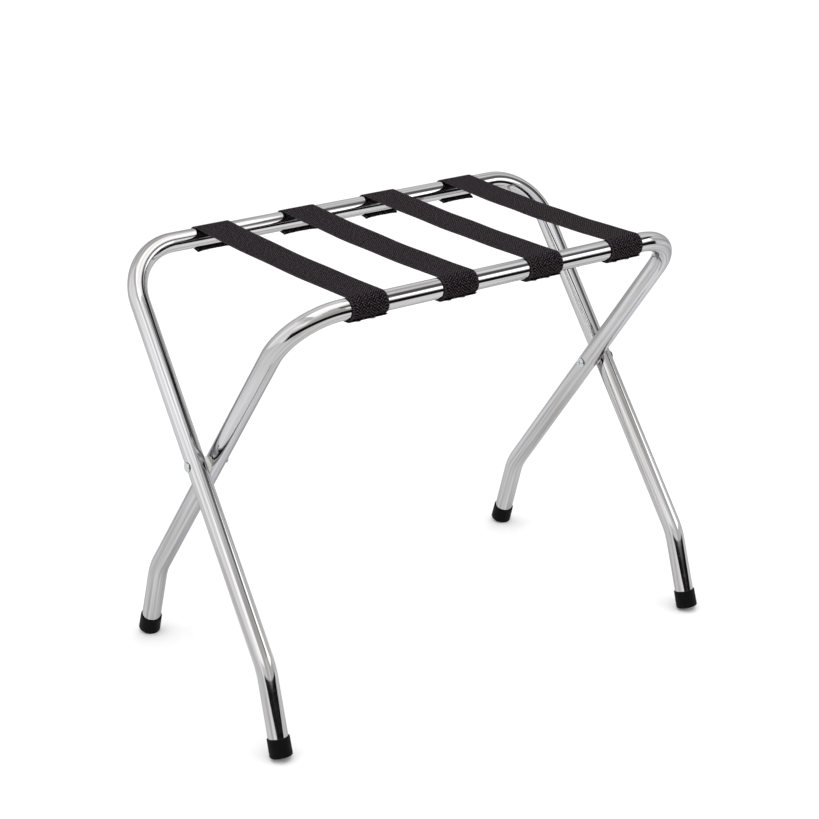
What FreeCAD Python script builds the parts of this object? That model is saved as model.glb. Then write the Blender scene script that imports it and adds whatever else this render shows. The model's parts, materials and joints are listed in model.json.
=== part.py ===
"""Folding luggage rack: two bent tube frames on one scissor pivot, with four webbing straps from rail to rail.

Millimetres, +Z up. The origin lies on the floor under the middle of the rack. The rails run along X, the front
is -Y, and the scissor pivot's axis runs along X above the origin. The rack is modelled open, as it stands in use.

The outer frame is the wider one: its rail is at the back and its feet are at the front. The inner frame fits
between the outer frame's legs: its rail is at the front and its feet are at the back.
"""
import FreeCAD, Part
import math
import os

import Sketcher
from FreeCAD import Placement, Rotation, Vector

doc = FreeCAD.newDocument("luggage_rack")
sheet = doc.addObject("Spreadsheet::Sheet", "Dimensions")

# ---------------------------------------------------------------- driving dimensions
DIMENSIONS = [
    # bent frames; heights and widths are to the tube's axis
    ("rail_height", 480.0),
    ("pivot_height", 279.6),
    ("knee_height", 95.0),
    ("leg_lean", 36.94),  # degrees from upright, from knee to rail
    ("foot_lean", 17.28),  # degrees from upright, below the knee
    ("outer_half_width", 289.1),  # at pivot height
    ("inner_half_width", 264.6),
    ("outer_splay", 0.0178),  # the legs spread sideways by this much for each unit of drop
    ("inner_splay", 0.0131),
    ("tube_diameter", 22.2),
    ("tube_wall", 1.2),
    ("top_bend_radius", 62.0),
    ("knee_bend_radius", 70.0),
    # rubber foot caps
    ("cap_diameter", 25.4),
    ("cap_mouth_diameter", 25.0),
    ("cap_height", 21.0),
    ("cap_floor", 3.0),
    ("cap_edge_radius", 1.5),
    ("cap_lip", 0.5),  # the bevel round the cap's mouth
    # webbing straps
    ("strap_width", 45.0),
    ("strap_thickness", 1.5),
    ("strap_pitch", 114.8),
    ("strap_gap", 0.3),  # between webbing and rail, and round each screw
    ("strap_tab", 6.0),  # from under the rail's axis inwards
    ("hem_length", 15.0),  # the webbing's end is folded under over this length
    # strap screws, two side by side at each end of a strap
    ("strap_screw_spacing", 18.0),
    ("strap_screw_shank", 3.5),
    ("strap_screw_length", 9.0),
    ("strap_screw_head", 8.0),
    ("strap_screw_head_height", 1.2),
    # pivot: barrel nut from outside, screw from inside, two saddle washers between the legs
    ("barrel_diameter", 6.4),
    ("barrel_head", 11.2),
    ("barrel_head_height", 1.4),
    ("barrel_bore_depth", 26.0),
    ("pivot_screw_shank", 4.0),
    ("pivot_screw_length", 22.0),
    ("pivot_screw_head", 12.0),
    ("pivot_screw_head_height", 1.6),
    ("washer_diameter", 13.0),
    # domed heads and the cross recess of the screws
    ("rim_share", 0.8),  # radius round a head's rim, for each unit of its height
    ("recess_share", 0.55),  # the cross from tip to tip, for each unit of the head's diameter
    ("recess_blade", 0.9),
    ("recess_depth", 0.8),
    # fits
    ("assembly_gap", 0.02),  # between pieces that bear on each other and don't move
    ("running_fit", 0.08),  # radial, where the inner leg turns on the barrel
    ("end_play", 0.3),  # between faces that slide past each other as the rack folds
    ("seat_gap", 0.15),  # a flat head on the leg's round and slightly splayed side
]
for row, (alias, number) in enumerate(DIMENSIONS, start=1):
    sheet.set(f"A{row}", alias)
    sheet.set(f"B{row}", str(number))
    sheet.setAlias(f"B{row}", alias)
doc.recompute()


def size(alias):
    """A driving dimension, as a number."""
    return float(getattr(sheet, alias))


def on_sheet(formula):
    """A formula in which d.alias stands for a cell of the sheet."""
    return formula.replace("d.", "Dimensions.")


def bind(feature, **formulas):
    """Tie a feature's properties to formulas on the sheet."""
    for name, formula in formulas.items():
        feature.setExpression(name, on_sheet(formula))


UP = Vector(0, 0, 1)
DOWN = Vector(0, 0, -1)
SIDES = {"left": -1, "right": 1}
ENDS = {"front": -1, "rear": 1}
STRAP_COUNT = 4
TUBE_RADIUS = size("tube_diameter") / 2
LEG_SLOPE = math.tan(math.radians(size("leg_lean")))
FOOT_SLOPE = math.tan(math.radians(size("foot_lean")))
RAIL_OFFSET = (size("rail_height") - size("pivot_height")) * LEG_SLOPE
KNEE_OFFSET = (size("pivot_height") - size("knee_height")) * LEG_SLOPE


# ---------------------------------------------------------------- where the frames run
class Frame:
    """The axis of one bent frame. rail_side is +1 for a rail at the back and -1 for a rail at the front."""

    def __init__(self, name, rail_side):
        self.name = name
        self.rail_side = rail_side
        self.half_width = size(f"{name}_half_width")
        self.splay = size(f"{name}_splay")

    def leg_x(self, height):
        """Distance from the middle of the rack to a leg's axis."""
        return self.half_width + self.splay * (size("pivot_height") - height)

    def leg_direction(self, side):
        """Unit vector up a leg, between the knee and the rail."""
        return Vector(-side * self.splay, self.rail_side * LEG_SLOPE, 1.0).normalize()

    def foot_direction(self, side):
        """Unit vector up a leg, below the knee."""
        return Vector(-side * self.splay, self.rail_side * FOOT_SLOPE, 1.0).normalize()

    def foot_point(self, side, height):
        """A point of the axis below the knee."""
        out = KNEE_OFFSET + (size("knee_height") - height) * FOOT_SLOPE
        return Vector(side * self.leg_x(height), -self.rail_side * out, height)

    def cap_base(self, side):
        """Middle of the cap's bottom face, at the height where the cap's rounded rim just meets the floor."""
        upright = self.foot_direction(side).z
        lean = math.sqrt(1.0 - upright**2)
        edge = size("cap_edge_radius")
        return self.foot_point(side, (size("cap_diameter") / 2 - edge) * lean + edge * (1.0 - upright))

    def tube_end(self, side):
        """The tube stops on the cap's floor."""
        return self.cap_base(side) + self.foot_direction(side) * (size("cap_floor") + size("assembly_gap"))

    def corners(self):
        """The axis as a polyline from the left foot over the rail to the right foot, before bending."""
        halves = []
        for side in SIDES.values():
            knee_x = side * self.leg_x(size("knee_height"))
            rail_x = side * self.leg_x(size("rail_height"))
            knee = Vector(knee_x, -self.rail_side * KNEE_OFFSET, size("knee_height"))
            rail = Vector(rail_x, self.rail_side * RAIL_OFFSET, size("rail_height"))
            halves.append([self.tube_end(side), knee, rail])
        left, right = halves
        return left + right[::-1]


def rounded_wire(points, radii):
    """Straight runs joined by tangent arcs, with one radius for each inner point."""
    edges = []
    start = points[0]
    for before, corner, after, radius in zip(points, points[1:], points[2:], radii):
        back = (before - corner).normalize()
        ahead = (after - corner).normalize()
        half_angle = back.getAngle(ahead) / 2
        setback = radius / math.tan(half_angle)
        centre = corner + (back + ahead).normalize() * (radius / math.sin(half_angle))
        middle = centre + (corner - centre).normalize() * radius
        arc_start = corner + back * setback
        arc_end = corner + ahead * setback
        edges.append(Part.LineSegment(start, arc_start).toShape())
        edges.append(Part.Arc(arc_start, middle, arc_end).toShape())
        start = arc_end
    edges.append(Part.LineSegment(start, points[-1]).toShape())
    return Part.Wire(edges)


def strap_centres():
    """X of the straps, left to right, spaced evenly about the middle."""
    return [(index - (STRAP_COUNT - 1) / 2) * size("strap_pitch") for index in range(STRAP_COUNT)]


def screw_pair(x):
    """X of the two screws under a strap whose middle is at x."""
    return [x - size("strap_screw_spacing") / 2, x + size("strap_screw_spacing") / 2]


# ---------------------------------------------------------------- solids and cuts
def cylinder(name, base, direction, radius, height):
    """A cylinder standing on base along direction; radius and height are formulas."""
    solid = doc.addObject("Part::Cylinder", name)
    bind(solid, Radius=radius, Height=height)
    solid.Placement = Placement(base, Rotation(UP, direction))
    return solid


def fused(name, solids):
    solid = doc.addObject("Part::MultiFuse", name)
    solid.Shapes = solids
    solid.Refine = True
    return solid


def cut(name, base, tool):
    solid = doc.addObject("Part::Cut", name)
    solid.Base = base
    solid.Tool = tool
    return solid


# ---------------------------------------------------------------- bodies turned from an outline
def origin_feature(body, role):
    return next(feature for feature in body.Origin.OriginFeatures if feature.Role == role)


def outline_sketch(body, name, plane, corners):
    """A closed outline on one of the body's own planes; each corner is a pair of formulas."""
    sketch = body.newObject("Sketcher::SketchObject", name)
    sketch.AttachmentSupport = [(origin_feature(body, plane), "")]
    sketch.MapMode = "FlatFace"
    formulas = [[on_sheet(formula) for formula in corner] for corner in corners]
    points = [Vector(*[float(sheet.evalExpression(formula)) for formula in pair], 0) for pair in formulas]
    count = len(points)
    for index, point in enumerate(points):
        sketch.addGeometry(Part.LineSegment(point, points[(index + 1) % count]), False)
    for index in range(count):
        sketch.addConstraint(Sketcher.Constraint("Coincident", index, 2, (index + 1) % count, 1))
    for index, (point, pair) in enumerate(zip(points, formulas)):
        across = sketch.addConstraint(Sketcher.Constraint("DistanceX", -1, 1, index, 1, point.x))
        along = sketch.addConstraint(Sketcher.Constraint("DistanceY", -1, 1, index, 1, point.y))
        sketch.setExpression(f"Constraints[{across}]", pair[0])
        sketch.setExpression(f"Constraints[{along}]", pair[1])
    return sketch


def turned_body(name, corners):
    """A body turned round its own Z axis from an outline of (radius, height) formulas."""
    body = doc.addObject("PartDesign::Body", name)
    outline = outline_sketch(body, f"{name}_outline", "XZ_Plane", corners)
    turning = body.newObject("PartDesign::Revolution", f"{name}_turning")
    turning.Profile = outline
    turning.ReferenceAxis = (outline, ["V_Axis"])
    turning.Angle = 360.0
    body.Tip = turning
    return body


def round_rim(body, radius):
    """Round the circular edge that lies at the body's Z = 0; radius is a formula."""
    doc.recompute()
    turning = body.Tip
    rim = []
    for number, edge in enumerate(turning.Shape.Edges, start=1):
        if abs(edge.BoundBox.ZMax) < 1e-6:
            rim.append(f"Edge{number}")
    fillet = body.newObject("PartDesign::Fillet", f"{body.Name}_rim")
    fillet.Base = (turning, rim)
    bind(fillet, Radius=radius)
    body.Tip = fillet


def cross_recess(body, width):
    """Sink a cross into the face at the body's Z = 0; width is a formula for the cross from tip to tip."""
    arm = f"{width} / 2"
    blade = "d.recess_blade / 2"
    quarter = [(blade, arm), (blade, blade), (arm, blade)]
    corners = []
    for x_sign, y_sign, order in (("", "", 1), ("", "-", -1), ("-", "-", 1), ("-", "", -1)):
        corners += [(f"{x_sign}({x})", f"{y_sign}({y})") for x, y in quarter[::order]]
    outline = outline_sketch(body, f"{body.Name}_cross", "XY_Plane", corners)
    recess = body.newObject("PartDesign::Pocket", f"{body.Name}_recess")
    recess.Profile = outline
    recess.Reversed = True
    bind(recess, Length="d.recess_depth")
    body.Tip = recess


def screw(name, kind):
    """A domed screw with a cross recess. Its head's outer face lies at Z = 0 and its shank points up."""
    head, head_height = f"d.{kind}_head", f"d.{kind}_head_height"
    tip = f"{head_height} + d.{kind}_length"
    shank = f"d.{kind}_shank / 2"
    outline = [("0", "0"), (f"{head} / 2", "0"), (f"{head} / 2", head_height), (shank, head_height),
               (shank, tip), ("0", tip)]
    body = turned_body(name, outline)
    round_rim(body, f"d.rim_share * {head_height}")
    cross_recess(body, f"d.recess_share * {head}")
    return body


# ---------------------------------------------------------------- frame tubes
def swept_bar(frame, name, axis, radius):
    """A round bar along the frame's axis; radius is a formula."""
    section = doc.addObject("Part::Circle", f"{name}_section")
    bind(section, Radius=radius)
    section.Placement = Placement(frame.tube_end(-1), Rotation(UP, frame.foot_direction(-1)))
    bar = doc.addObject("Part::Sweep", name)
    bar.Sections = [section]
    bar.Spine = (axis, [f"Edge{number}" for number in range(1, len(axis.Shape.Edges) + 1)])
    bar.Solid = True
    return bar


def frame_tube(frame, pivot_fit):
    """The bent tube, drilled through both legs for the pivot and into the rail's underside for the screws."""
    name = f"{frame.name}_frame_tube"
    knee, top = size("knee_bend_radius"), size("top_bend_radius")
    axis = doc.addObject("Part::Feature", f"{name}_axis")
    axis.Shape = rounded_wire(frame.corners(), [knee, top, top, knee])
    outside = swept_bar(frame, f"{name}_outside", axis, "d.tube_diameter / 2")
    bore = swept_bar(frame, f"{name}_bore", axis, "d.tube_diameter / 2 - d.tube_wall")
    tube = cut(f"{name}_undrilled", outside, bore)

    drills = []
    for word, side in SIDES.items():
        start = Vector(side * (frame.half_width - size("tube_diameter")), 0, size("pivot_height"))
        drills.append(cylinder(f"{name}_pivot_drill_{word}", start, Vector(side, 0, 0),
                               f"d.barrel_diameter / 2 + d.{pivot_fit}", "2 * d.tube_diameter"))
    screws = [x for centre in strap_centres() for x in screw_pair(centre)]
    for number, x in enumerate(screws, start=1):
        start = Vector(x, frame.rail_side * RAIL_OFFSET, size("rail_height"))
        drills.append(cylinder(f"{name}_screw_drill_{number}", start, DOWN,
                               "d.strap_screw_shank / 2 + d.assembly_gap", "d.tube_diameter"))
    return cut(name, tube, fused(f"{name}_drills", drills))


# ---------------------------------------------------------------- foot caps
def foot_cap(frame, word):
    """A moulded rubber cap on the end of a leg, wider at its rounded foot than at its bevelled mouth."""
    side = SIDES[word]
    end = "front" if frame.rail_side > 0 else "rear"
    hole = "d.tube_diameter / 2 + d.assembly_gap"
    mouth = "d.cap_mouth_diameter / 2"
    outline = [("0", "0"), ("d.cap_diameter / 2", "0"), (mouth, "d.cap_height - d.cap_lip"),
               (f"{mouth} - d.cap_lip", "d.cap_height"), (hole, "d.cap_height"), (hole, "d.cap_floor"),
               ("0", "d.cap_floor")]
    body = turned_body(f"foot_cap_{end}_{word}", outline)
    round_rim(body, "d.cap_edge_radius")
    body.Placement = Placement(frame.cap_base(side), Rotation(UP, frame.foot_direction(side)))
    return body


# ---------------------------------------------------------------- straps
def at_strap_end(rail_side, x, down=0.0, outward=0.0):
    """A placement at one edge of a strap on the rail's axis: X points down, Y outwards, Z across the strap."""
    turn = Rotation(DOWN, Vector(0, rail_side, 0), Vector(rail_side, 0, 0), "ZXY")
    edge = Vector(x - rail_side * size("strap_width") / 2, rail_side * RAIL_OFFSET, size("rail_height"))
    return Placement(edge, turn) * Placement(Vector(down, outward, 0), Rotation())


def strap_end(name, rail_side, x):
    """A strap's end: over the outer side of the rail to a hemmed tab underneath, where the screws go in."""
    inside = "d.tube_diameter / 2 + d.strap_gap"
    hem_angle = f"(d.hem_length - d.strap_tab) / ({inside} + 1.5 * d.strap_thickness) * 180 / pi"
    discs = {"turn": (f"{inside} + d.strap_thickness", "180"),
             "hem": (f"{inside} + 2 * d.strap_thickness", hem_angle),
             "hollow": (inside, "360")}
    for word, (radius, angle) in discs.items():
        disc = doc.addObject("Part::Cylinder", f"{name}_{word}")
        bind(disc, Radius=radius, Height="d.strap_width", Angle=angle)
        disc.Placement = at_strap_end(rail_side, x)
        discs[word] = disc
    wrap = cut(f"{name}_wrap", fused(f"{name}_discs", [discs["turn"], discs["hem"]]), discs["hollow"])
    tab = doc.addObject("Part::Box", f"{name}_tab")
    bind(tab, Length="2 * d.strap_thickness", Width="d.strap_tab", Height="d.strap_width")
    tab.Placement = at_strap_end(rail_side, x, TUBE_RADIUS + size("strap_gap"), -size("strap_tab"))
    return [wrap, tab]


def webbing_strap(number, x):
    """A flat strap, taut from rail to rail, both ends wrapped, hemmed and holed for their screws."""
    name = f"webbing_strap_{number}"
    span = doc.addObject("Part::Box", f"{name}_span")
    bind(span, Length="d.strap_width", Height="d.strap_thickness",
         Width="2 * (d.rail_height - d.pivot_height) * tan(d.leg_lean * 1deg)")
    underside = size("rail_height") + TUBE_RADIUS + size("strap_gap")
    span.Placement = Placement(Vector(x - size("strap_width") / 2, -RAIL_OFFSET, underside), Rotation())
    pieces, holes = [span], []
    for word, rail_side in ENDS.items():
        pieces += strap_end(f"{name}_{word}", rail_side, x)
        for index, screw_x in enumerate(screw_pair(x), start=1):
            start = Vector(screw_x, rail_side * RAIL_OFFSET, size("rail_height"))
            holes.append(cylinder(f"{name}_{word}_hole_{index}", start, DOWN,
                                  "d.strap_screw_shank / 2 + d.strap_gap", "d.tube_diameter"))
    return cut(name, fused(f"{name}_unholed", pieces), fused(f"{name}_holes", holes))


def strap_screws(number, end, x):
    """The two screws at one end of a strap, driven upwards through the hem into the rail."""
    name = f"strap_{number}_{end}_screws"
    body = screw(name, "strap_screw")
    doc.recompute()
    pair = body.newObject("PartDesign::LinearPattern", f"{name}_pair")
    pair.Originals = [body.getObject(f"{name}_{step}") for step in ("turning", "rim", "recess")]
    pair.Direction = (origin_feature(body, "X_Axis"), [""])
    bind(pair, Length="d.strap_screw_spacing")
    pair.Occurrences = 2
    body.Tip = pair
    under_hem = TUBE_RADIUS + size("strap_gap") + 2 * size("strap_thickness") + size("assembly_gap")
    lowest = size("rail_height") - under_hem - size("strap_screw_head_height")
    body.Placement = Placement(Vector(screw_pair(x)[0], ENDS[end] * RAIL_OFFSET, lowest), Rotation())
    return body


# ---------------------------------------------------------------- pivots
def on_pivot(side, x):
    """A point of the pivot's axis, x away from the middle of the rack on one side."""
    return Vector(side * x, 0, size("pivot_height"))


def barrel_nut(word):
    """A domed head against the outer leg and a barrel through both legs, threaded for the screw from inside."""
    side = SIDES[word]
    reach = ("d.outer_half_width - d.inner_half_width + d.tube_diameter + d.seat_gap + d.end_play"
             " + d.barrel_head_height")
    bottom = f"{reach} - d.barrel_bore_depth"
    barrel, bore = "d.barrel_diameter / 2", "d.pivot_screw_shank / 2 + d.assembly_gap"
    head = "d.barrel_head / 2"
    outline = [("0", "0"), (head, "0"), (head, "d.barrel_head_height"), (barrel, "d.barrel_head_height"),
               (barrel, reach), (bore, reach), (bore, bottom), ("0", bottom)]
    body = turned_body(f"pivot_barrel_nut_{word}", outline)
    round_rim(body, "d.rim_share * d.barrel_head_height")
    face = size("outer_half_width") + TUBE_RADIUS + size("seat_gap") + size("barrel_head_height")
    body.Placement = Placement(on_pivot(side, face), Rotation(UP, Vector(-side, 0, 0)))
    return body


def pivot_screw(word):
    """The screw that closes the barrel nut; its head bears on the barrel's end and keeps the inner leg on."""
    side = SIDES[word]
    body = screw(f"pivot_screw_{word}", "pivot_screw")
    barrel_end = size("inner_half_width") - TUBE_RADIUS - size("end_play")
    face = barrel_end - size("assembly_gap") - size("pivot_screw_head_height")
    body.Placement = Placement(on_pivot(side, face), Rotation(UP, Vector(side, 0, 0)))
    return body


def saddle_washer(frame, word, toward_leg):
    """Half of the spacer between the legs: flat towards its twin and hollowed to sit on its own leg.

    toward_leg is +1 where the leg lies outside the gap between the frames and -1 where it lies inside.
    """
    side = SIDES[word]
    name = f"saddle_washer_{frame.name}_{word}"
    middle = (size("outer_half_width") + size("inner_half_width")) / 2
    start = on_pivot(side, middle + toward_leg * size("end_play") / 2)
    across = Vector(side * toward_leg, 0, 0)
    blank = cylinder(f"{name}_blank", start, across, "d.washer_diameter / 2",
                     "(d.outer_half_width - d.inner_half_width) / 2 - d.end_play / 2")
    along_leg = frame.leg_direction(side)
    below = on_pivot(side, frame.half_width) - along_leg * size("washer_diameter")
    leg = cylinder(f"{name}_leg", below, along_leg, "d.tube_diameter / 2 + d.assembly_gap",
                   "2 * d.washer_diameter")
    fit = "running_fit" if frame is inner else "assembly_gap"
    hole = cylinder(f"{name}_hole", start, across, f"d.barrel_diameter / 2 + d.{fit}", "d.tube_diameter")
    return cut(name, blank, fused(f"{name}_cuts", [leg, hole]))


# ---------------------------------------------------------------- build every piece
outer = Frame("outer", 1)
inner = Frame("inner", -1)
pieces = [frame_tube(outer, "assembly_gap"), frame_tube(inner, "running_fit")]
for word in SIDES:
    pieces += [foot_cap(outer, word), foot_cap(inner, word)]
    pieces += [barrel_nut(word), pivot_screw(word)]
    pieces += [saddle_washer(outer, word, 1), saddle_washer(inner, word, -1)]
for number, x in enumerate(strap_centres(), start=1):
    pieces.append(webbing_strap(number, x))
    pieces += [strap_screws(number, end, x) for end in ENDS]
for piece in pieces:
    piece.Label = piece.Name
doc.recompute()

# ---------------------------------------------------------------- check and write
for item in doc.Objects:
    if "Invalid" in item.State or "Error" in item.State:
        raise RuntimeError(f"{item.Name} failed: {item.State}")
SOLIDS_IN_GROUP = 2
for piece in pieces:
    shape = piece.Shape
    if shape.isNull() or not shape.isValid():
        raise RuntimeError(f"{piece.Label} has no valid shape")
    expected = SOLIDS_IN_GROUP if piece.Label.endswith("_screws") else 1
    if len(shape.Solids) != expected:
        raise RuntimeError(f"{piece.Label} has {len(shape.Solids)} solids instead of {expected}")

os.makedirs("parts", exist_ok=True)
for piece in pieces:
    piece.Shape.exportStep(f"parts/{piece.Label}.step")
    print(f"{piece.Label}: {piece.Shape.Volume:.0f} cubic millimetres")
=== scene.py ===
# %% [markdown]
# # A folding luggage rack, dressed for the studio
#
# The rack is two bent steel tubes that cross on a scissor pivot, four flat straps, rubber feet and a few
# screws. Its engineering model is loaded first and stays where it is. It fixes every size and every moving
# joint. The lesson then adds what engineering leaves out: woven webbing, chrome that has something to
# reflect, moulded rubber, nylon and zinc plate. Everything is in metres, +Z up, with the origin on the
# floor under the rack.

# %% Load the frame
import json
import math

import bmesh
import bpy
from mathutils import Matrix, Vector


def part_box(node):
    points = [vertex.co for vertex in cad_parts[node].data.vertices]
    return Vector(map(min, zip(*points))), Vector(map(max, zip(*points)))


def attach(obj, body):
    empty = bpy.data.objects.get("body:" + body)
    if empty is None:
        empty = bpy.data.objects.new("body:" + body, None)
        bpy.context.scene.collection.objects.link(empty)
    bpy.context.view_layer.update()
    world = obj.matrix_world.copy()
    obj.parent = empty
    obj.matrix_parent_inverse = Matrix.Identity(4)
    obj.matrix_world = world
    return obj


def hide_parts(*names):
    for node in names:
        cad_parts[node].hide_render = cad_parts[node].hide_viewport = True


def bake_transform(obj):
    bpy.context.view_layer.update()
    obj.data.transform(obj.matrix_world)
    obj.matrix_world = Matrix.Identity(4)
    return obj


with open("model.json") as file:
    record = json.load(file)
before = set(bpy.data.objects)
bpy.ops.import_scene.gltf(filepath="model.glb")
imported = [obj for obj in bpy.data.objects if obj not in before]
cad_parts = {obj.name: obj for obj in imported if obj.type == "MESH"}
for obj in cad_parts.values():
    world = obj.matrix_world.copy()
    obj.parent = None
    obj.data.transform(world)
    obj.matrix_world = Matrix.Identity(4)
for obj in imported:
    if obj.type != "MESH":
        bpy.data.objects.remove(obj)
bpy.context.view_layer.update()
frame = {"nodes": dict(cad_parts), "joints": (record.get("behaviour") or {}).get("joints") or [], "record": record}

nodes = frame["nodes"]
scene = bpy.context.scene

# %% [markdown]
# ## Where things are
#
# The new tubes and straps have to lie exactly where the engineering model has them, so the main sizes are
# read from the loaded nodes rather than typed in again. The tube is 22.2 mm across, so each rail's axis
# lies half of that in from the edge of its frame's box, and the legs cross on the fold joint.

# %% Rails, straps and pivot, as the frame has them
MM = 0.001
TUBE_RADIUS = 11.1 * MM
outer_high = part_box("outer_frame_tube")[1]
RAIL_HEIGHT = outer_high.z - TUBE_RADIUS
RAIL_OFFSET = -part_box("inner_frame_tube")[0].y - TUBE_RADIUS
PIVOT = Vector(frame["joints"][0]["pos_m"])
STRAP_COUNT = 4
strap_boxes = [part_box(f"webbing_strap_{number}") for number in range(1, STRAP_COUNT + 1)]
STRAP_WIDTH = strap_boxes[0][1].x - strap_boxes[0][0].x
STRAP_CENTRES = [(low.x + high.x) / 2 for low, high in strap_boxes]
print(f"rail axis {RAIL_HEIGHT / MM:.1f} mm up and {RAIL_OFFSET / MM:.1f} mm from the middle")
print("straps at x =", [round(x / MM, 1) for x in STRAP_CENTRES], "mm")
print(f"each {STRAP_WIDTH / MM:.1f} mm wide")


# %% [markdown]
# ## Helpers
#
# Colours are picked as they look on a screen, in sRGB hex, and Blender wants them linear. Node trees are
# long to write out, so one function adds a node, sets its settings and plugs in its inputs, and another
# starts a material with its shader. A last one puts a finished list of corners and faces into the scene as
# a smooth object with a flat map of real metres, on which weaves and polishing marks are laid out later.

# %% Colour
def linear(hex_colour):
    """An sRGB hex colour such as "#8a8d90" as linear red, green and blue with full opacity."""
    values = []
    for start in (1, 3, 5):
        value = int(hex_colour[start:start + 2], 16) / 255
        values.append(value / 12.92 if value <= 0.04045 else ((value + 0.055) / 1.055) ** 2.4)
    return (*values, 1.0)


# %% Nodes and materials
def add(tree, kind, inputs=None, stops=(), **settings):
    """Add a node of a kind. settings are its properties; inputs maps sockets to numbers or to other sockets.

    stops are for a colour ramp: pairs of position and hex colour, from low to high.
    """
    node = tree.nodes.new("ShaderNode" + kind)
    for name, value in settings.items():
        setattr(node, name, value)
    for name, value in (inputs or {}).items():
        if isinstance(value, bpy.types.NodeSocket):
            tree.links.new(value, node.inputs[name])
        else:
            node.inputs[name].default_value = value
    if stops:
        elements = node.color_ramp.elements
        for _ in stops[2:]:
            elements.new(1.0)
        for element, (position, colour) in zip(elements, stops):
            element.position = position
            element.color = linear(colour)
    return node


def new_material(name, **shader_inputs):
    """A new material, its node tree and its Principled shader, whose own sockets take the constants."""
    material = bpy.data.materials.new(name)
    material.use_nodes = True
    tree = material.node_tree
    tree.nodes.clear()
    shader = add(tree, "BsdfPrincipled")
    add(tree, "OutputMaterial", {"Surface": shader.outputs["BSDF"]})
    for socket, value in shader_inputs.items():
        shader.inputs[socket.replace("_", " ")].default_value = value
    return material, tree, shader


# %% Meshes
def new_piece(name, corners, faces, flat_map, material):
    """A smooth mesh object. flat_map gives (across, along) in metres for each face's corners, in order."""
    mesh = bpy.data.meshes.new(name)
    mesh.from_pydata(corners, [], faces)
    layer = mesh.uv_layers.new(name="metres")
    layer.data.foreach_set("uv", [value for pair in flat_map for value in pair])
    mesh.shade_smooth()
    mesh.materials.append(material)
    piece = bpy.data.objects.new(name, mesh)
    scene.collection.objects.link(piece)
    return piece


# %% [markdown]
# ## The camera
#
# The rack is seen from its front left corner and a little above, through a moderately long lens, which
# keeps the two frames nearly parallel. The camera is set by its place, the way it faces round the rack, how
# far it looks down and a trace of roll.

# %% Camera
CAMERA_PLACE = Vector((-1.2322, -1.6884, 1.1160))
FACING = math.radians(-35.99)
LOOKING_DOWN = math.radians(21.88)
ROLL = math.radians(0.21)
SENSOR_WIDTH = 36.0  # millimetres, as is the lens
LENS = 85.6
camera_data = bpy.data.cameras.new("camera")
camera_data.sensor_width = SENSOR_WIDTH
camera_data.lens = LENS
camera = bpy.data.objects.new("camera", camera_data)
scene.collection.objects.link(camera)
turn = Matrix.Rotation(FACING, 4, "Z") @ Matrix.Rotation(math.pi / 2 - LOOKING_DOWN, 4, "X")
camera.matrix_world = Matrix.Translation(CAMERA_PLACE) @ turn @ Matrix.Rotation(ROLL, 4, "Z")
scene.camera = camera
scene.view_settings.view_transform = "Standard"
print("camera", [round(value, 3) for value in CAMERA_PLACE], "lens", LENS)

# %% [markdown]
# ## The studio
#
# Chrome shows nothing of its own, only what stands round it, so the room is half of this material. A
# product photographer surrounds chrome with white panels and leaves dark gaps between them, and each gap
# becomes one of the thin black lines that tell the eye "polished metal, round". The panels could be real
# planes. Here they are drawn in the world shader by direction, because a panel is then one line in a table
# and never gets in the way. The camera itself sees plain white behind the rack.

# %% Directions in the world shader
world = bpy.data.worlds.new("studio")
scene.world = world
world.use_nodes = True
sky = world.node_tree
sky.nodes.clear()
looking = add(sky, "TexCoord").outputs["Generated"]
height = add(sky, "Math", {0: add(sky, "SeparateXYZ", {"Vector": looking}).outputs["Z"]}, operation="ARCSINE")
level_look = add(sky, "VectorMath", {0: looking, 1: (1.0, 1.0, 0.0)}, operation="MULTIPLY").outputs["Vector"]
level_look = add(sky, "VectorMath", {0: level_look}, operation="NORMALIZE").outputs["Vector"]


def within(angle, reach, softness):
    """1 where an angle, in radians, is inside the reach and 0 outside, with a soft edge; both in degrees."""
    inner_edge, outer_edge = math.radians(reach - softness / 2), math.radians(reach + softness / 2)
    return add(sky, "MapRange", {"Value": angle, "From Min": inner_edge, "From Max": outer_edge,
                                 "To Min": 1.0, "To Max": 0.0},
               interpolation_type="SMOOTHSTEP").outputs["Result"]


# %% Panels and gaps
OPEN_ROOM = 1.0
PANELS = [
    # compass angle and its half width, height angle and its half width, softness (degrees), brightness
    (165.0, 38.0, 20.0, 32.0, 8.0, 1.42),  # white wall to the left
    (-147.0, 20.0, 29.0, 9.0, 7.0, 1.75),  # strip light in front of that wall
    (-107.0, 19.0, 51.0, 7.0, 5.0, 1.75),  # strip light up to the left
    (-84.0, 20.0, 43.0, 7.0, 6.0, 0.85),  # edge of the ceiling panel
    (26.0, 34.0, 40.0, 22.0, 8.0, 1.15),  # white ceiling to the right
    (-6.0, 16.0, 16.0, 12.0, 8.0, 1.00),  # corner to the right
    (-40.0, 22.0, 43.0, 9.0, 5.0, 0.20),  # grey gap above the front right softbox
    (-25.0, 13.0, 34.5, 5.5, 4.0, 0.03),  # black flag under that gap
    (-60.0, 50.0, -30.0, 7.0, 5.0, 1.40),  # light sent up from below the front of the rack
    (-90.0, 60.0, -8.0, 12.5, 4.0, 0.01),  # dark room in front, beyond the edge of the white floor
]
brightness = add(sky, "Value").outputs[0]
brightness.default_value = OPEN_ROOM
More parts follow.
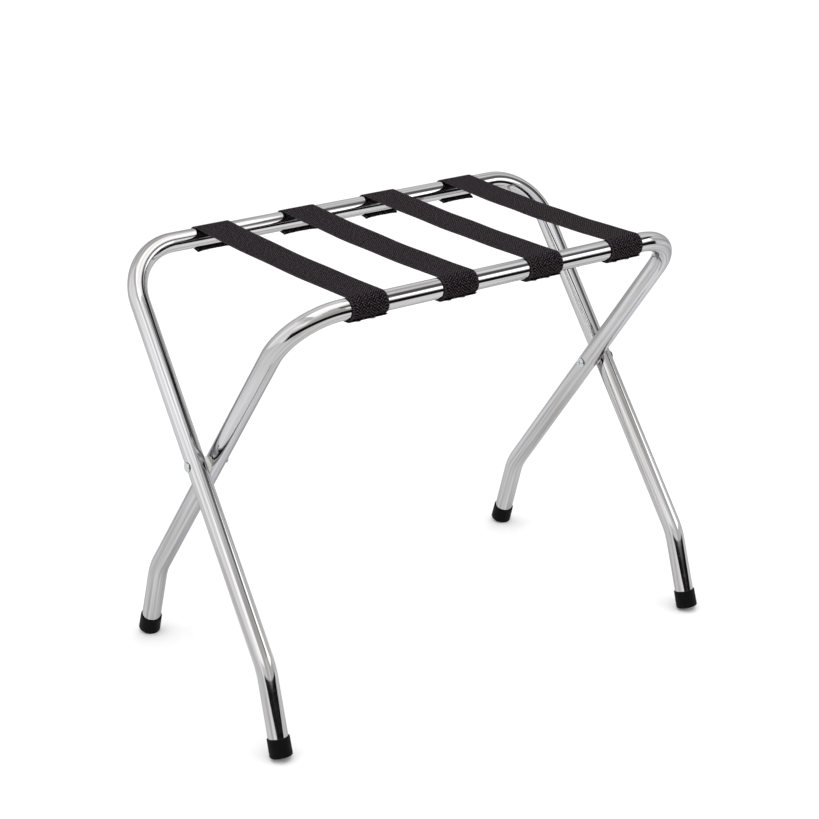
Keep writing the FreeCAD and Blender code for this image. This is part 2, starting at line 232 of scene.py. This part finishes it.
for compass, half_width, height_angle, half_height, softness, panel_brightness in PANELS:
    toward = (math.cos(math.radians(compass)), math.sin(math.radians(compass)), 0.0)
    aside = add(sky, "VectorMath", {0: level_look, 1: toward}, operation="DOT_PRODUCT").outputs["Value"]
    aside = add(sky, "Math", {0: aside}, operation="ARCCOSINE").outputs[0]
    above = add(sky, "Math", {0: height.outputs[0], 1: math.radians(height_angle)}, operation="SUBTRACT")
    above = add(sky, "Math", {0: above.outputs[0]}, operation="ABSOLUTE").outputs[0]
    mask = add(sky, "Math", {0: within(aside, half_width, softness), 1: within(above, half_height, softness)},
               operation="MULTIPLY").outputs[0]
    brightness = add(sky, "Mix", {"Factor": mask, "A": brightness, "B": panel_brightness}).outputs["Result"]
seen = add(sky, "LightPath").outputs["Is Camera Ray"]
brightness = add(sky, "Mix", {"Factor": seen, "A": brightness, "B": 1.0}).outputs["Result"]
background = add(sky, "Background", {"Color": linear("#ffffff"), "Strength": brightness})
add(sky, "OutputWorld", {"Surface": background.outputs["Background"]})
print("studio:", len(PANELS), "panels and gaps")

# %% [markdown]
# ## Floor and lamps
#
# The floor is white background paper, matte and very slightly mottled. Its front edge lies a little over
# half a metre before the rack, so the chrome mirrors the dark room beyond it: a black line along the rail
# and a wider one down each foot. Two large soft lamps add direction to the even light. Without them the
# straps and the rubber, which reflect little, would look flat.

# %% Floor
PAPER_FRONT = -0.75
PAPER_BACK = 8.0
PAPER_HALF_WIDTH = 7.0
MOTTLE = 25 * MM
paper, tree, shader = new_material("background_paper", Roughness=0.95)
solid = add(tree, "TexCoord").outputs["Object"]
fibres = add(tree, "TexNoise", {"Vector": solid, "Scale": 1 / MOTTLE, "Detail": 4.0}).outputs["Fac"]
mottle = add(tree, "ValToRGB", {"Fac": fibres}, stops=[(0.3, "#f6f6f6"), (0.7, "#fafafa")])
tree.links.new(mottle.outputs["Color"], shader.inputs["Base Color"])
corners = [(-PAPER_HALF_WIDTH, PAPER_FRONT, 0), (PAPER_HALF_WIDTH, PAPER_FRONT, 0),
           (PAPER_HALF_WIDTH, PAPER_BACK, 0), (-PAPER_HALF_WIDTH, PAPER_BACK, 0)]
floor = new_piece("studio_floor", corners, [(0, 1, 2, 3)], [corner[:2] for corner in corners], paper)
print(f"floor: {2 * PAPER_HALF_WIDTH:.0f} m wide, from y = {PAPER_FRONT} to {PAPER_BACK} m")


# %% Lamps
LAMP_AIM = Vector((0, 0, 0.3))


def soft_lamp(name, place, width, height, power):
    """A rectangular softbox that faces the middle of the rack."""
    data = bpy.data.lights.new(name, "AREA")
    data.shape = "RECTANGLE"
    data.size = width
    data.size_y = height
    data.energy = power
    lamp = bpy.data.objects.new(name, data)
    scene.collection.objects.link(lamp)
    lamp.location = place
    lamp.rotation_euler = (LAMP_AIM - Vector(place)).to_track_quat("-Z", "Y").to_euler()
    return lamp


lamps = [
    # place, width and height in metres, power in watts
    soft_lamp("overhead", (0.0, -0.4, 2.6), 2.4, 2.0, 18),
    soft_lamp("front_right", (1.62, -1.72, 1.32), 1.3, 0.75, 6.4),
]
print("lamps:", [lamp.name for lamp in lamps])

# %% [markdown]
# ## Chrome plate
#
# The tubes are mild steel, bent, polished on belts and plated with decorative chrome: a mirror of neutral
# grey that gives back about half of the light. A perfect mirror would look computed. What makes it metal is
# small: belt marks that run along the tube, a hint of unevenness left by polishing, which bends straight
# reflections a little, and hazy patches where the rack is handled. Faint streaks along the tube, darker and
# lighter, are painted reflection in the plate's colour. Near its outline chrome also darkens a little,
# which the shader's tint for glancing light gives.

# %% Polished chrome plate
BELT_MARK = 1.6 * MM  # width of a belt mark; real ones are finer than a hair, too fine to show
BELT_RUN = 90 * MM
# The broad, faint streaks are painted reflection: darker and lighter bands painted into the plate's colour.
PAINTED_STREAK = 3.0 * MM  # width of the broad, faint streaks between the belt marks
PAINTED_STREAK_RUN = 260 * MM
SWELL = 24 * MM  # length of the gentle waves that polishing leaves
SWELL_HEIGHT = 0.035 * MM
MARK_DEPTH = 0.004 * MM
HAZE = 45 * MM
chrome, tree, shader = new_material("polished_chrome_plate", Metallic=1.0, Specular_Tint=linear("#c4c4c8"))
metres = add(tree, "TexCoord").outputs["UV"]
stretched = add(tree, "VectorMath", {0: metres, 1: (1 / BELT_MARK, 1 / BELT_RUN, 1.0)}, operation="MULTIPLY")
marks = add(tree, "TexNoise", {"Vector": stretched.outputs["Vector"], "Scale": 1.0, "Detail": 3.0})
marks = marks.outputs["Fac"]
stretched = add(tree, "VectorMath", {0: metres, 1: (1 / PAINTED_STREAK, 1 / PAINTED_STREAK_RUN, 1.0)}, operation="MULTIPLY")
painted_streaks = add(tree, "TexNoise", {"Vector": stretched.outputs["Vector"], "Scale": 1.0, "Detail": 2.0})
solid = add(tree, "TexCoord").outputs["Object"]
haze = add(tree, "TexNoise", {"Vector": solid, "Scale": 1 / HAZE, "Detail": 5.0, "Roughness": 0.6})
swell = add(tree, "TexNoise", {"Vector": solid, "Scale": 1 / SWELL, "Detail": 1.0})
# The plate's colour: neutral chrome grey, with painted reflection streaks, darker and lighter, along the tube.
plate = add(tree, "ValToRGB", {"Fac": painted_streaks.outputs["Fac"]},
            stops=[(0.32, "#989695"), (0.5, "#b7b6b6"), (0.68, "#c8c8cb")])
tree.links.new(plate.outputs["Color"], shader.inputs["Base Color"])
clear = add(tree, "MapRange", {"Value": haze.outputs["Fac"], "From Min": 0.45, "From Max": 0.8,
                               "To Min": 0.035, "To Max": 0.10})
marked = add(tree, "MapRange", {"Value": marks, "From Min": 0.35, "From Max": 0.75,
                                "To Min": 0.0, "To Max": 0.05})
roughness = add(tree, "Math", {0: clear.outputs["Result"], 1: marked.outputs["Result"]}, operation="ADD")
tree.links.new(roughness.outputs[0], shader.inputs["Roughness"])
waves = add(tree, "Bump", {"Height": swell.outputs["Fac"], "Strength": 1.0, "Distance": SWELL_HEIGHT})
scratches = add(tree, "Bump", {"Height": marks, "Normal": waves.outputs["Normal"], "Strength": 1.0,
                               "Distance": MARK_DEPTH})
tree.links.new(scratches.outputs["Normal"], shader.inputs["Normal"])
print(chrome.name, "has", len(tree.nodes), "nodes")

# %% [markdown]
# ## The frame tubes
#
# Each frame is one length of tube, bent at both knees and at both ends of the rail. The engineering model
# has the right shape, but its surface is made of flat facets, and chrome gives every facet away. So the
# tubes are swept again, finely: rings of corners along the same axis, inside and outside, joined by faces.
# A curve object with a round bevel would do it in one step, but gives no control over the map that the belt
# marks follow.

# %% Bends and widths of the two frames
TUBE_WALL = 1.2 * MM
TOP_BEND = 62 * MM
KNEE_BEND = 70 * MM
KNEE_HEIGHT = 95 * MM
FOOT_SLOPE = math.tan(math.radians(17.28))
LEG_SLOPE = RAIL_OFFSET / (RAIL_HEIGHT - PIVOT.z)
KNEE_OFFSET = (PIVOT.z - KNEE_HEIGHT) * LEG_SLOPE
FRAMES = {
    # half width at the pivot, spread of the legs for each unit of drop, side of the rail
    "outer": (289.1 * MM, 0.0178, 1),
    "inner": (264.6 * MM, 0.0131, -1),
}
CAP_FLOOR = 3.02 * MM
CAP_RADIUS = 12.7 * MM
CAP_EDGE = 1.5 * MM


def frame_corners(half_width, splay, rail_side):
    """The tube's axis before bending, from the left foot over the rail to the right foot."""
    halves = []
    for side in (-1, 1):
        def point(out, up):
            return Vector((side * (half_width + splay * (PIVOT.z - up)), rail_side * out, up))

        upright = Vector((-side * splay, rail_side * FOOT_SLOPE, 1.0)).normalized()
        lean = math.sqrt(1 - upright.z ** 2)
        cap_base = (CAP_RADIUS - CAP_EDGE) * lean + CAP_EDGE * (1 - upright.z)
        foot = point(-KNEE_OFFSET - (KNEE_HEIGHT - cap_base) * FOOT_SLOPE, cap_base) + upright * CAP_FLOOR
        halves.append([foot, point(-KNEE_OFFSET, KNEE_HEIGHT), point(RAIL_OFFSET, RAIL_HEIGHT)])
    return halves[0] + halves[1][::-1]


# %% The axis as a row of stations
RUN_STEP = 8 * MM
BEND_STEP = math.radians(2)


def straight_run(stations, end):
    """Add stations from the last one straight to end. A station is a point and the tube's direction."""
    start = stations[-1][0]
    count = max(1, round((end - start).length / RUN_STEP))
    direction = (end - start).normalized()
    stations += [(start.lerp(end, step / count), direction) for step in range(1, count + 1)]


def bent_axis(corners, radii):
    """Stations along straight runs joined by round bends, one radius for each inner corner."""
    stations = [(corners[0], (corners[1] - corners[0]).normalized())]
    for before, corner, after, radius in zip(corners, corners[1:], corners[2:], radii):
        coming, going = (corner - before).normalized(), (after - corner).normalized()
        turned = coming.angle(going)
        straight_run(stations, corner - coming * radius * math.tan(turned / 2))
        hinge = coming.cross(going).normalized()
        start = stations[-1][0]
        centre = start + hinge.cross(coming) * radius
        count = round(turned / BEND_STEP)
        for step in range(1, count + 1):
            rotation = Matrix.Rotation(turned * step / count, 3, hinge)
            stations.append((centre + rotation @ (start - centre), rotation @ coming))
    straight_run(stations, corners[-1])
    return stations


# %% Rings of corners round the axis
TUBE_SIDES = 64


def swept_tube(name, stations, material):
    """A hollow tube round the stations, with its map laid out round and along the tube."""
    point, direction = stations[0]
    across = direction.orthogonal().normalized()
    corners = {TUBE_RADIUS: [], TUBE_RADIUS - TUBE_WALL: []}
    travelled = [0.0]
    for number, (next_point, next_direction) in enumerate(stations):
        across = direction.rotation_difference(next_direction) @ across
        if number:
            travelled.append(travelled[-1] + (next_point - point).length)
        point, direction = next_point, next_direction
        other = direction.cross(across)
        for radius, ring in corners.items():
            for side in range(TUBE_SIDES):
                angle = math.tau * side / TUBE_SIDES
                ring.append(point + (across * math.cos(angle) + other * math.sin(angle)) * radius)
    outside, inside = corners.values()
    count = len(stations)
    inner_start = len(outside)
    girth = math.tau * TUBE_RADIUS / TUBE_SIDES
    faces, flat_map = [], []
    for ring in range(count - 1):
        for side in range(TUBE_SIDES):
            here, there = ring * TUBE_SIDES, (ring + 1) * TUBE_SIDES
            after = (side + 1) % TUBE_SIDES
            faces.append((here + side, here + after, there + after, there + side))
            faces.append(tuple(inner_start + corner for corner in reversed(faces[-1])))
            low, high = travelled[ring], travelled[ring + 1]
            left, right = side * girth, (side + 1) * girth
            square = [(left, low), (right, low), (right, high), (left, high)]
            flat_map += square + square[::-1]
    last = (count - 1) * TUBE_SIDES
    for side in range(TUBE_SIDES):
        after = (side + 1) % TUBE_SIDES
        faces.append((side, inner_start + side, inner_start + after, after))
        faces.append((last + side, last + after, inner_start + last + after, inner_start + last + side))
        flat_map += [(side * girth, 0.0)] * 4 + [(side * girth, travelled[-1])] * 4
    return new_piece(name, outside + inside, faces, flat_map, material), travelled[-1]


# %% [markdown]
# The tubes are drilled like the real ones: through both legs for the pivot, and into the underside of the
# rail for the strap screws. One boolean with all the drills at once does it, and edges sharper than 40
# degrees keep a crisp line.

# %% Drill the tubes
PIVOT_DRILL = {"outer": 3.22 * MM, "inner": 3.28 * MM}
SCREW_DRILL = 1.77 * MM
SCREW_SPACING = 18 * MM
SCREW_PLACES = (-SCREW_SPACING / 2, SCREW_SPACING / 2)  # from the middle of a strap
DRILL_SIDES = 32
SHARP = math.radians(40)


def drill(tube, frame_name):
    """Cut the pivot and screw holes out of a frame tube."""
    half_width, _, rail_side = FRAMES[frame_name]
    cutters = bmesh.new()
    for side in (-1, 1):
        place = Matrix.Translation((side * half_width, 0, PIVOT.z)) @ Matrix.Rotation(math.pi / 2, 4, "Y")
        bmesh.ops.create_cone(cutters, cap_ends=True, segments=DRILL_SIDES, radius1=PIVOT_DRILL[frame_name],
                              radius2=PIVOT_DRILL[frame_name], depth=4 * TUBE_RADIUS, matrix=place)
    for x in STRAP_CENTRES:
        for screw in SCREW_PLACES:
            below = Vector((x + screw, rail_side * RAIL_OFFSET, RAIL_HEIGHT - TUBE_RADIUS))
            bmesh.ops.create_cone(cutters, cap_ends=True, segments=DRILL_SIDES, radius1=SCREW_DRILL,
                                  radius2=SCREW_DRILL, depth=TUBE_RADIUS, matrix=Matrix.Translation(below))
    drills = bpy.data.objects.new("drills", bpy.data.meshes.new("drills"))
    cutters.to_mesh(drills.data)
    cutters.free()
    scene.collection.objects.link(drills)
    cutting = tube.modifiers.new("drilling", "BOOLEAN")
    cutting.operation = "DIFFERENCE"
    cutting.solver = "EXACT"
    cutting.object = drills
    drilled = bpy.data.meshes.new_from_object(tube.evaluated_get(bpy.context.evaluated_depsgraph_get()))
    tube.modifiers.clear()
    tube.data = drilled
    drilled.set_sharp_from_angle(angle=SHARP)
    bpy.data.objects.remove(drills)


# %% Both tubes, in place of the plain ones
for frame_name, (half_width, splay, rail_side) in FRAMES.items():
    corners = frame_corners(half_width, splay, rail_side)
    stations = bent_axis(corners, [KNEE_BEND, TOP_BEND, TOP_BEND, KNEE_BEND])
    tube, length = swept_tube(f"{frame_name}_tube_chromed", stations, chrome)
    drill(tube, frame_name)
    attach(tube, f"{frame_name}_frame")
    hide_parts(f"{frame_name}_frame_tube")
    print(f"{tube.name}: {length / MM:.0f} mm of tube, {len(tube.data.polygons)} faces")

# %% [markdown]
# ## The straps
#
# Each strap is one length of flat webbing, 45 mm wide. Its end is folded under to make a double hem, the
# hem lies against the underside of the rail, where two screws hold it, and from there the webbing runs up
# round the outer side of the rail and across to the other one. Cloth simulation is no help with something
# this taut and narrow. The route is walked instead, the way a finger would trace it: so far straight, so
# far round a bend.

# %% Sizes of the webbing
THICKNESS = 1.4 * MM
LAY_GAP = 0.3 * MM  # between webbing and rail
LAYER_GAP = 0.12 * MM  # between the two layers of the hem
HEM_LENGTH = 15 * MM
TAB_LENGTH = 6 * MM  # from under the rail's axis inwards
INNER_LAY = TUBE_RADIUS + LAY_GAP + THICKNESS / 2
HEM_LAY = INNER_LAY + THICKNESS + LAYER_GAP
FOLD_RADIUS = (HEM_LAY - INNER_LAY) / 2
TAB_RUN = TAB_LENGTH - FOLD_RADIUS - THICKNESS / 2
HEM_ARC = HEM_LENGTH - TAB_LENGTH


# %% Walk the route
HEM_STEPS = 10
TAB_STEPS = 6
TURN_STEPS = 30  # for the half turn round a rail
SPAN_STEPS = 100


def walk(route, length, turned, steps, loose=(0.0, 0.0)):
    """Carry a route on, turning evenly left (or right if negative). loose runs from 0, held, to 1, free."""
    out, up, heading, gone, _ = route[-1]
    part, bend = length / steps, turned / steps
    chord = part * (math.sin(bend / 2) / (bend / 2) if bend else 1.0)
    for step in range(1, steps + 1):
        out += chord * math.cos(heading + bend / 2)
        up += chord * math.sin(heading + bend / 2)
        heading += bend
        free = loose[0] + (loose[1] - loose[0]) * step / steps
        route.append((out, up, heading, gone + part * step, free))


def strap_route():
    """Stations (y, z, heading, distance along the webbing, looseness) from the rear hem to the front hem."""
    start_angle = HEM_ARC / HEM_LAY
    start = (RAIL_OFFSET + HEM_LAY * math.sin(start_angle), RAIL_HEIGHT - HEM_LAY * math.cos(start_angle),
             math.pi + start_angle, 0.0, 1.0)
    route = [start]
    walk(route, HEM_ARC, -start_angle, HEM_STEPS, (1, 1))
    walk(route, TAB_RUN, 0, TAB_STEPS, (1, 1))
    walk(route, math.pi * FOLD_RADIUS, -math.pi, HEM_STEPS, (1, 0))
    walk(route, TAB_RUN, 0, TAB_STEPS)
    walk(route, math.pi * INNER_LAY, math.pi, TURN_STEPS)
    walk(route, 2 * RAIL_OFFSET, 0, SPAN_STEPS)
    walk(route, math.pi * INNER_LAY, math.pi, TURN_STEPS)
    walk(route, TAB_RUN, 0, TAB_STEPS)
    walk(route, math.pi * FOLD_RADIUS, -math.pi, HEM_STEPS, (0, 1))
    walk(route, TAB_RUN, 0, TAB_STEPS, (1, 1))
    walk(route, HEM_ARC, -start_angle, HEM_STEPS, (1, 1))
    return route


route = strap_route()
STRAP_LENGTH = route[-1][3]
print(f"one strap: {STRAP_LENGTH / MM:.0f} mm of webbing, {len(route)} stations")

# %% [markdown]
# Webbing isn't a plain slab. Its edges are rounded, with a narrow groove where the selvedge starts. Webbing
# on a rack in use also dips by a few millimetres in the middle, no two straps quite alike, its tabs droop
# at their free corners, and it bulges a little round the screws that pull it tight. All of that is small,
# but it is what the light catches, so it is modelled.

# %% Section across the webbing
EDGE_ROUNDING = 0.7 * MM
SELVEDGE = 2.6 * MM
GROOVE_WIDTH = 0.4 * MM
GROOVE_DEPTH = 0.2  # for each unit of half the thickness
EDGE_COLUMNS = [0.0, 0.12, 0.35, 0.7, 1.3, 1.9, 2.25, 2.6, 2.95, 3.5]  # millimetres from the edge
MIDDLE_COLUMNS = 25


def half_thickness(x):
    """Half the webbing's thickness at x from its middle line."""
    from_edge = STRAP_WIDTH / 2 - abs(x)
    rounding = math.sqrt(max(0.0, 1 - max(0.0, 1 - from_edge / EDGE_ROUNDING) ** 2))
    groove = GROOVE_DEPTH * math.exp(-((from_edge - SELVEDGE) / GROOVE_WIDTH) ** 2)
    return THICKNESS / 2 * (rounding - groove)


left_columns = [-STRAP_WIDTH / 2 + distance * MM for distance in EDGE_COLUMNS]
middle_width = -2 * left_columns[-1]
middle_columns = [left_columns[-1] + middle_width * step / MIDDLE_COLUMNS
                  for step in range(1, MIDDLE_COLUMNS)]
columns = left_columns + middle_columns + [-x for x in reversed(left_columns)]
print(len(columns), "columns across the webbing")

# %% How the webbing settles
DIP = [2.6 * MM, 3.2 * MM, 2.4 * MM, 3.6 * MM]  # in the middle of each strap
RIPPLE = 0.3 * MM
RIPPLES = 7.0  # half waves along the first strap, one more along each next strap
RIPPLE_START = 3.0  # where in its wave each next strap starts, in radians
SIDEWAYS = 0.6  # how far a ripple moves the middle sideways, for each unit of its height
BULGE = 0.2 * MM
REAR_DROOP = 1.8 * MM  # of a tab's free corners
FRONT_DROOP = 0.4 * MM
STIFFER_SIDE = 0.75  # one corner of each tab droops less than the other
DROOP_CURVE = 1.5  # above 1, a tab droops most at its very end
HELD_ROUND_SCREW = 6.5 * MM


def settle(strap, x, station):
    """Small offsets of a point of the webbing: sideways, up and away from the rail under the hem."""
    out, up, _, gone, free = station
    on_span = max(0.0, 1 - (out / RAIL_OFFSET) ** 2) if up > RAIL_HEIGHT else 0.0
    beat = RIPPLES + strap
    ripple = RIPPLE * on_span * math.sin(beat * math.pi * gone / STRAP_LENGTH + RIPPLE_START * strap)
    edge = (2 * x / STRAP_WIDTH) ** 3
    dip = -DIP[strap] * on_span + ripple * edge
    drift = SIDEWAYS * ripple * (1 - abs(edge))
    if up < RAIL_HEIGHT and abs(out) < RAIL_OFFSET:
        reach_in = (RAIL_OFFSET - abs(out)) / TAB_LENGTH
        droop = REAR_DROOP if out > 0 else FRONT_DROOP
        side_share = STIFFER_SIDE if x * (-1) ** strap > 0 else 1.0
        dip -= droop * side_share * abs(edge) * reach_in ** DROOP_CURVE
    near = min(abs(x - screw) for screw in SCREW_PLACES)
    reach = math.hypot(near, abs(out) - RAIL_OFFSET)
    bulge = BULGE * free * (1 - math.exp(-(reach / HELD_ROUND_SCREW) ** 2))
    return drift, dip, bulge


# %% Build one strap
def strap_corners(strap, centre, route):
    """A ring of corners round the webbing at each station: the upper side, then the lower side back."""
    corners = []
    for station in route:
        out, up, heading, *_ = station
        away = Vector((0.0, math.sin(heading), -math.cos(heading)))
        for x, side in [(x, 1) for x in columns] + [(x, -1) for x in reversed(columns[1:-1])]:
            drift, dip, bulge = settle(strap, x, station)
            middle = Vector((centre + x + drift, out, up + dip))
            corners.append(middle + away * (side * half_thickness(x) - bulge))
    return corners


def strap_faces(route):
    """Faces between the rings, a cap on each cut end, and their map: across and along the webbing."""
    ring = 2 * len(columns) - 2
    across = columns + columns[-2:0:-1]
    faces, flat_map = [], []
    for row in range(len(route) - 1):
        low, high = route[row][3], route[row + 1][3]
        for column in range(ring):
            after = (column + 1) % ring
            here, there = row * ring, (row + 1) * ring
            faces.append((here + column, there + column, there + after, here + after))
            left, right = across[column] + STRAP_WIDTH / 2, across[after] + STRAP_WIDTH / 2
            flat_map += [(left, low), (left, high), (right, high), (right, low)]
    last = (len(route) - 1) * ring
    for start, gone, turned in ((0, 0.0, False), (last, STRAP_LENGTH, True)):
        for column in range(len(columns) - 1):
            square = (column, column + 1, (ring - column - 1) % ring, (ring - column) % ring)
            cap = [start + corner for corner in dict.fromkeys(square)]  # a triangle at either edge
            faces.append(tuple(reversed(cap)) if turned else tuple(cap))
            flat_map += [(columns[column] + STRAP_WIDTH / 2, gone)] * len(cap)
    return faces, flat_map


# %% [markdown]
# ## Woven webbing
#
# The webbing is polypropylene, woven in a fine herringbone: ribs of slanting yarns that change direction
# every few millimetres, between two plain selvedges. The yarns carry a black dye and are faintly glossy. In
# the colour, single crowns of the weave get a painted highlight, faintly violet, and the gaps between them
# painted shade, near black. The weave is drawn from the flat map, so it follows the webbing round every
# bend, as woven yarns do.

# %% Black polypropylene webbing
RIB = STRAP_WIDTH / 10
SLANT_PITCH = 3.2 * MM  # real slants are about 2 mm apart; drawn coarser, to show
YARN = 1.7 * MM  # real yarns are about 0.9 mm wide
CATCH = 2.1 * MM  # distance between crowns that catch the light
CROWN_HEIGHT = 0.35 * MM
webbing, tree, shader = new_material("woven_polypropylene", Specular_IOR_Level=0.008, Sheen_Weight=0.012,
                                     Sheen_Roughness=0.35, Sheen_Tint=linear("#dccfd6"))
metres = add(tree, "TexCoord").outputs["UV"]
place = add(tree, "SeparateXYZ", {"Vector": metres})
across, along = place.outputs["X"], place.outputs["Y"]


def wave(tree, distance, pitch):
    """A wave from -1 to 1 along a distance, one crest for each pitch."""
    turns = add(tree, "Math", {0: distance, 1: math.tau / pitch}, operation="MULTIPLY").outputs[0]
    return add(tree, "Math", {0: turns}, operation="SINE").outputs[0]


zigzag = add(tree, "Math", {0: across, 1: RIB}, operation="PINGPONG").outputs[0]
slanting = add(tree, "Math", {0: along, 1: zigzag}, operation="ADD").outputs[0]
slants, ridges = wave(tree, slanting, SLANT_PITCH), wave(tree, across, YARN)
weave = add(tree, "Mix", {"Factor": 0.4, "A": slants, "B": ridges}).outputs["Result"]
from_middle = add(tree, "Math", {0: across, 1: STRAP_WIDTH / 2}, operation="SUBTRACT").outputs[0]
from_middle = add(tree, "Math", {0: from_middle}, operation="ABSOLUTE").outputs[0]
at_edge = add(tree, "Math", {0: from_middle, 1: STRAP_WIDTH / 2 - SELVEDGE}, operation="GREATER_THAN")
relief = add(tree, "Mix", {"Factor": at_edge.outputs[0], "A": weave, "B": wave(tree, along, YARN)})
crown = add(tree, "MapRange", {"Value": relief.outputs["Result"], "From Min": -1.0, "From Max": 1.0})
# Noise that picks the crowns which get a painted highlight in the colour below and stand higher in the bump.
catch = add(tree, "TexNoise", {"Vector": metres, "Scale": 1 / CATCH, "Detail": 2.0}).outputs["Fac"]
crown = add(tree, "Mix", {"Factor": 0.55, "A": crown.outputs["Result"], "B": catch}).outputs["Result"]
# Base colour: black dye, with painted highlights, faintly violet, on the crowns and painted shade, near black, in
# the gaps between them.
dye_and_painted_light = add(tree, "ValToRGB", {"Fac": crown}, stops=[(0.34, "#020202"), (0.52, "#0b090a"), (0.74, "#554c51")])
tree.links.new(dye_and_painted_light.outputs["Color"], shader.inputs["Base Color"])
gloss = add(tree, "MapRange", {"Value": crown, "To Min": 0.85, "To Max": 0.5}).outputs["Result"]
tree.links.new(gloss, shader.inputs["Roughness"])
raised = add(tree, "Bump", {"Height": crown, "Strength": 1.0, "Distance": CROWN_HEIGHT}).outputs["Normal"]
tree.links.new(raised, shader.inputs["Normal"])
print(webbing.name, "has", len(tree.nodes), "nodes")

# %% [markdown]
# Each strap spans the joint: its rear end belongs to the outer frame and its front end to the inner one. As
# the real rack folds, the middle of each strap drops into a slack curve. Here each strap is built once, in
# place, in the open rack.

# %% Four straps, built in place
CUT_EDGE = math.radians(60)
faces, flat_map = strap_faces(route)
for strap, centre in enumerate(STRAP_CENTRES):
    corners = strap_corners(strap, centre, route)
    piece = new_piece(f"strap_webbing_{strap + 1}", corners, faces, flat_map, webbing)
    piece.data.set_sharp_from_angle(angle=CUT_EDGE)
    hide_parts(f"webbing_strap_{strap + 1}")
    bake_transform(piece)
print("each strap has", len(faces), "faces")

# %% [markdown]
# ## Rubber feet
#
# The caps are moulded in black rubber and pushed over the tube ends. Moulded rubber is matte, with the fine
# grain of a spark-eroded mould, and its foot picks up pale dust from floors.

# %% Moulded black rubber
GRAIN = 0.7 * MM  # a real grain is about 0.2 mm; drawn coarser, to show
GRAIN_DEPTH = 0.08 * MM
BLOTCH = 6 * MM
DUST_HEIGHT = 7 * MM
rubber, tree, shader = new_material("moulded_black_rubber", Specular_IOR_Level=0.08)
solid = add(tree, "TexCoord").outputs["Object"]
grain = add(tree, "TexNoise", {"Vector": solid, "Scale": 1 / GRAIN, "Detail": 2.0}).outputs["Fac"]
blotch = add(tree, "TexNoise", {"Vector": solid, "Scale": 1 / BLOTCH, "Detail": 4.0}).outputs["Fac"]
up = add(tree, "SeparateXYZ", {"Vector": solid}).outputs["Z"]
low = add(tree, "MapRange", {"Value": up, "From Max": DUST_HEIGHT, "To Min": 1.0, "To Max": 0.0})
dust = add(tree, "Math", {0: low.outputs["Result"], 1: blotch}, operation="MULTIPLY").outputs[0]
dusty = add(tree, "ValToRGB", {"Fac": dust}, stops=[(0.1, "#030303"), (0.6, "#171615")])
tree.links.new(dusty.outputs["Color"], shader.inputs["Base Color"])
roughness = add(tree, "MapRange", {"Value": blotch, "To Min": 0.42, "To Max": 0.75}).outputs["Result"]
tree.links.new(roughness, shader.inputs["Roughness"])
raised = add(tree, "Bump", {"Height": grain, "Strength": 1.0, "Distance": GRAIN_DEPTH}).outputs["Normal"]
tree.links.new(raised, shader.inputs["Normal"])
print(rubber.name, "has", len(tree.nodes), "nodes")

# %% [markdown]
# ## Zinc-plated screws and barrel nuts
#
# The fasteners are cold-headed steel with bright zinc plate and a clear passivation. That film is thin
# enough to tint the light, so the metal is a pale blue with a trace of yellow, and softer than the chrome
# beside it.

# %% Bright zinc plate
FILM = 3 * MM
TUMBLING = 0.5 * MM  # width of the dents from tumbling in the plating barrel
DENT_DEPTH = 0.02 * MM
zinc, tree, shader = new_material("bright_zinc_plate", Metallic=1.0)
solid = add(tree, "TexCoord").outputs["Object"]
film = add(tree, "TexNoise", {"Vector": solid, "Scale": 1 / FILM, "Detail": 3.0}).outputs["Fac"]
dents = add(tree, "TexNoise", {"Vector": solid, "Scale": 1 / TUMBLING, "Detail": 2.0}).outputs["Fac"]
tinted = add(tree, "ValToRGB", {"Fac": film}, stops=[(0.3, "#b2bac2"), (0.55, "#bdc0c2"), (0.75, "#c6c3b8")])
tree.links.new(tinted.outputs["Color"], shader.inputs["Base Color"])
roughness = add(tree, "MapRange", {"Value": film, "To Min": 0.12, "To Max": 0.32}).outputs["Result"]
tree.links.new(roughness, shader.inputs["Roughness"])
raised = add(tree, "Bump", {"Height": dents, "Strength": 1.0, "Distance": DENT_DEPTH}).outputs["Normal"]
tree.links.new(raised, shader.inputs["Normal"])
print(zinc.name, "has", len(tree.nodes), "nodes")

# %% [markdown]
# ## Nylon saddle washers
#
# The two halves of each spacer are moulded in natural nylon, a milky plastic: light goes in a little way
# and comes out again, which softens every edge. Where the legs slide past each other it is scuffed.

# %% Natural nylon
SCUFF = 1.2 * MM
SCUFF_DEPTH = 0.03 * MM
LIGHT_REACH = 1.0 * MM  # how far light goes into nylon
nylon, tree, shader = new_material("natural_nylon", IOR=1.53, Subsurface_Weight=0.1,
                                   Subsurface_Scale=LIGHT_REACH)
solid = add(tree, "TexCoord").outputs["Object"]
scuff = add(tree, "TexNoise", {"Vector": solid, "Scale": 1 / SCUFF, "Detail": 4.0}).outputs["Fac"]
milky = add(tree, "ValToRGB", {"Fac": scuff}, stops=[(0.35, "#e4e3dc"), (0.65, "#f2f2ee")])
tree.links.new(milky.outputs["Color"], shader.inputs["Base Color"])
roughness = add(tree, "MapRange", {"Value": scuff, "To Min": 0.3, "To Max": 0.55}).outputs["Result"]
tree.links.new(roughness, shader.inputs["Roughness"])
raised = add(tree, "Bump", {"Height": scuff, "Strength": 1.0, "Distance": SCUFF_DEPTH}).outputs["Normal"]
tree.links.new(raised, shader.inputs["Normal"])
print(nylon.name, "has", len(tree.nodes), "nodes")

# %% [markdown]
# ## Finishes onto the remaining parts
#
# The caps, screws, nuts and washers keep the shape that engineering gave them and only get their finish.
# The record says which material slot each node belongs to, so the slot picks the finish.

# %% Give each node the finish of its slot
FINISHES = {"chrome_tube": chrome, "webbing": webbing, "rubber_cap": rubber, "zinc_fastener": zinc,
            "nylon_washer": nylon}
for subpart in frame["record"]["subparts"]:
    mesh = nodes[subpart["node"]].data
    mesh.materials.clear()
    mesh.materials.append(FINISHES[subpart["material_slot"]])
